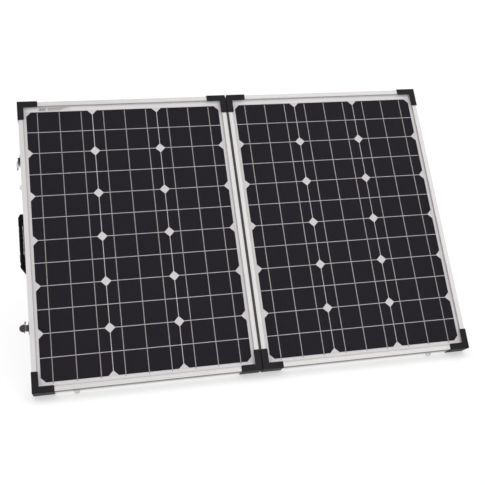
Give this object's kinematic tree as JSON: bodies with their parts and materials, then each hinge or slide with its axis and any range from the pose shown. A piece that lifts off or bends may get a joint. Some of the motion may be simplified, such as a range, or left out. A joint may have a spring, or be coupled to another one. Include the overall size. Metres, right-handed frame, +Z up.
{
  "type": "folding solar panel suitcase",
  "caption": "Folding two-leaf solar panel suitcase standing on rear telescopic legs, with hinge, carry handle, toggle latches and a rear charge controller.",
  "frame": {"origin": "on the ground, under the centre of the opened suitcase's bounding box", "axes": "+Z up, the cells face -Y, +X to the viewer's right across both leaves"},
  "size_m": [1.051, 0.5048, 0.587],
  "materials": {
    "anodised": "satin silver anodised extrusion, fine lengthwise grain",
    "zinc_cast": "as cast",
    "black_plastic": "moulded, fine pebble texture",
    "grip_plastic": "soft moulded grip",
    "box_plastic": "moulded, spark-eroded texture",
    "cover_plastic": "moulded, fine texture",
    "solar_glass": "clear low-iron glass, lightly textured",
    "backsheet": "white laminate film",
    "cell": "monocrystalline silicon with fine printed fingers",
    "ribbon": "tinned copper",
    "stainless": "turned stainless",
    "leg_alu": "satin extrusion",
    "rubber": "moulded rubber",
    "black_steel": "black passivated steel with worn edges",
    "wire_steel": "dulled plated wire",
    "display": "grey display window",
    "button_grey": "moulded button",
    "button_orange": "moulded button",
    "terminal_plastic": "moulded terminal block",
    "cable_jacket": "round jacketed cable"
  },
  "bodies": {
    "left_leaf": {"left_top_rail": "anodised", "left_bottom_rail": "anodised", "left_outer_rail": "anodised", "left_inner_rail": "anodised", "left_corner_keys": "zinc_cast", "left_corner_guards": "black_plastic", "left_glass": "solar_glass", "left_backsheet": "backsheet", "left_cells": "cell", "left_cell_ribbons": "ribbon", "left_junction_box": "box_plastic", "left_junction_lid": "box_plastic", "left_foot_bolt": "stainless", "left_leg_pivot": "stainless", "left_hinge_leaf": "black_steel", "hinge_pin": "black_steel", "handle_base": "black_plastic", "latch_bases": "black_steel", "controller_case": "box_plastic", "controller_cover": "cover_plastic", "controller_display": "display", "controller_terminals": "terminal_plastic", "left_pv_cables": "cable_jacket", "output_lead": "cable_jacket", "output_plug": "box_plastic", "left_pins_and_rivets": "stainless"},
    "right_leaf": {"right_top_rail": "anodised", "right_bottom_rail": "anodised", "right_outer_rail": "anodised", "right_inner_rail": "anodised", "right_corner_keys": "zinc_cast", "right_corner_guards": "black_plastic", "right_glass": "solar_glass", "right_backsheet": "backsheet", "right_cells": "cell", "right_cell_ribbons": "ribbon", "right_junction_box": "box_plastic", "right_junction_lid": "box_plastic", "right_foot_bolt": "stainless", "right_leg_pivot": "stainless", "right_hinge_leaf": "black_steel", "latch_keepers": "black_steel", "right_pv_cables": "cable_jacket", "right_rivets": "stainless"},
    "left_leg": {"left_leg_tube": "leg_alu"},
    "left_leg_slide": {"left_leg_extension": "leg_alu", "left_leg_tip": "rubber"},
    "left_leg_clamp": {"left_leg_knob": "black_plastic"},
    "right_leg": {"right_leg_tube": "leg_alu"},
    "right_leg_slide": {"right_leg_extension": "leg_alu", "right_leg_tip": "rubber"},
    "right_leg_clamp": {"right_leg_knob": "black_plastic"},
    "carry_handle": {"handle_grip": "grip_plastic"},
    "upper_lever": {"upper_latch_lever": "black_steel"},
    "upper_bail": {"upper_latch_bail": "wire_steel"},
    "lower_lever": {"lower_latch_lever": "black_steel"},
    "lower_bail": {"lower_latch_bail": "wire_steel"},
    "menu_key": {"menu_button": "button_grey"},
    "load_key": {"load_button": "button_orange"}
  },
  "joints": [
    {"name": "leaf_fold", "type": "hinge", "parent": "left_leaf", "child": "right_leaf", "pos_m": [0.00735, -0.04275, 0.30511], "axis": [0, -0.5968, -0.8024], "range_deg": [0, 180]},
    {"name": "left_leg_swing", "type": "hinge", "parent": "left_leaf", "child": "left_leg", "pos_m": [-0.46865, 0.05983, 0.4008], "axis": [1, 0, 0], "range_deg": [-61.61, 0]},
    {"name": "left_leg_extend", "type": "slide", "parent": "left_leg", "child": "left_leg_slide", "axis": [0, 0.4222, -0.9065], "range_m": [0, 0.12]},
    {"name": "left_leg_clamp_turn", "type": "hinge", "parent": "left_leg", "child": "left_leg_clamp", "pos_m": [-0.44865, 0.17466, 0.15423], "axis": [1, 0, 0], "continuous": true},
    {"name": "right_leg_swing", "type": "hinge", "parent": "right_leaf", "child": "right_leg", "pos_m": [0.48335, 0.05983, 0.4008], "axis": [1, 0, 0], "range_deg": [-61.61, 0]},
    {"name": "right_leg_extend", "type": "slide", "parent": "right_leg", "child": "right_leg_slide", "axis": [0, 0.4222, -0.9065], "range_m": [0, 0.12]},
    {"name": "right_leg_clamp_turn", "type": "hinge", "parent": "right_leg", "child": "right_leg_clamp", "pos_m": [0.46335, 0.17466, 0.15423], "axis": [-1, 0, 0], "continuous": true},
    {"name": "handle_lift", "type": "hinge", "parent": "left_leaf", "child": "carry_handle", "pos_m": [-0.51235, -0.01832, 0.28819], "axis": [0, -0.5968, -0.8024], "range_deg": [0, 95]},
    {"name": "upper_lever_turn", "type": "hinge", "parent": "left_leaf", "child": "upper_lever", "pos_m": [-0.50795, 0.08329, 0.46], "axis": [0, 0.5968, 0.8024], "range_deg": [0, 120]},
    {"name": "upper_bail_turn", "type": "hinge", "parent": "upper_lever", "child": "upper_bail", "pos_m": [-0.50795, 0.08891, 0.45582], "axis": [0, -0.5968, -0.8024], "range_deg": [-168.6, 0]},
    {"name": "lower_lever_turn", "type": "hinge", "parent": "left_leaf", "child": "lower_lever", "pos_m": [-0.50795, -0.15781, 0.13583], "axis": [0, 0.5968, 0.8024], "range_deg": [-90, 30]},
    {"name": "lower_bail_turn", "type": "hinge", "parent": "lower_lever", "child": "lower_bail", "pos_m": [-0.51495, -0.15781, 0.13583], "axis": [0, -0.5968, -0.8024], "range_deg": [-40, 86]},
    {"name": "menu_press", "type": "slide", "parent": "left_leaf", "child": "menu_key", "axis": [0, -0.8024, 0.5968], "range_m": [0, 0.0012], "stiffness_N_per_m": 400},
    {"name": "load_press", "type": "slide", "parent": "left_leaf", "child": "load_key", "axis": [0, -0.8024, 0.5968], "range_m": [0, 0.0012], "stiffness_N_per_m": 400}
  ]
}
